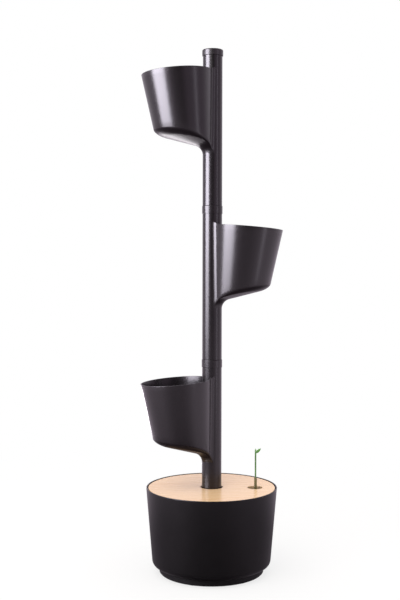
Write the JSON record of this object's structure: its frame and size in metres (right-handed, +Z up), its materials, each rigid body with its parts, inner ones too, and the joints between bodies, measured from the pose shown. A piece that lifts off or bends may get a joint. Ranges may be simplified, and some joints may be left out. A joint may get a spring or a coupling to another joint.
{
  "type": "vertical planter tower",
  "caption": "Self-watering planter tower: pots moulded on stacked tubes over a round water tub with a wooden lid and a float gauge.",
  "frame": {"origin": "on the ground, under the middle of the tub", "axes": "+Z up along the tower's tube; the middle pot reaches towards +X and the low and top pots towards -X"},
  "size_m": [0.3496, 0.3198, 1.2765],
  "materials": {
    "tub_plastic": "satin moulded, charcoal",
    "tower_plastic": "satin-gloss moulded, charcoal",
    "collar_plastic": "satin, charcoal",
    "cap_plastic": "satin, charcoal",
    "foot_plastic": "matt, charcoal",
    "foot_rubber": "matt",
    "seal_rubber": "matt",
    "inner_plastic": "matt, dark grey",
    "screw_steel": "zinc-plated",
    "lid_wood": "pale veneer under a thin satin lacquer",
    "well_plastic": "matt, grey",
    "guide_plastic": "satin, olive",
    "float_foam": "matt foam, off-white",
    "sprout_plastic": "satin, leaf green"
  },
  "bodies": {
    "base": {"tub": "tub_plastic", "foot_ring": "foot_plastic", "foot_pads": "foot_rubber", "tower_socket": "inner_plastic", "socket_screws": "screw_steel", "gauge_well": "well_plastic", "gauge_guide": "guide_plastic"},
    "lid": {"wood_lid": "lid_wood"},
    "gauge": {"gauge_float": "float_foam", "level_indicator": "sprout_plastic"},
    "low": {"low_module": "tower_plastic", "low_seal": "seal_rubber", "low_collar": "collar_plastic", "low_grid": "inner_plastic", "low_screen": "inner_plastic"},
    "mid": {"mid_module": "tower_plastic", "mid_seal": "seal_rubber", "mid_collar": "collar_plastic", "mid_grid": "inner_plastic", "mid_screen": "inner_plastic"},
    "top": {"top_module": "tower_plastic", "top_seal": "seal_rubber", "top_grid": "inner_plastic", "top_screen": "inner_plastic"},
    "cap": {"top_cap": "cap_plastic"}
  },
  "joints": [
    {"name": "low_turn", "type": "hinge", "parent": "base", "child": "low", "pos_m": [0, 0, 0.142], "axis": [0, 0, 1], "continuous": true},
    {"name": "mid_turn", "type": "hinge", "parent": "low", "child": "mid", "pos_m": [0, 0, 0.518], "axis": [0, 0, 1], "continuous": true},
    {"name": "top_turn", "type": "hinge", "parent": "mid", "child": "top", "pos_m": [0, 0, 0.894], "axis": [0, 0, 1], "continuous": true},
    {"name": "lid_lift", "type": "slide", "parent": "base", "child": "lid", "axis": [0, 0, 1], "range_m": [0, 0.055]},
    {"name": "cap_lift", "type": "slide", "parent": "top", "child": "cap", "axis": [0, 0, 1], "range_m": [0, 0.03]},
    {"name": "float_rise", "type": "slide", "parent": "base", "child": "gauge", "axis": [0, 0, 1], "range_m": [-0.056, 0]}
  ]
}
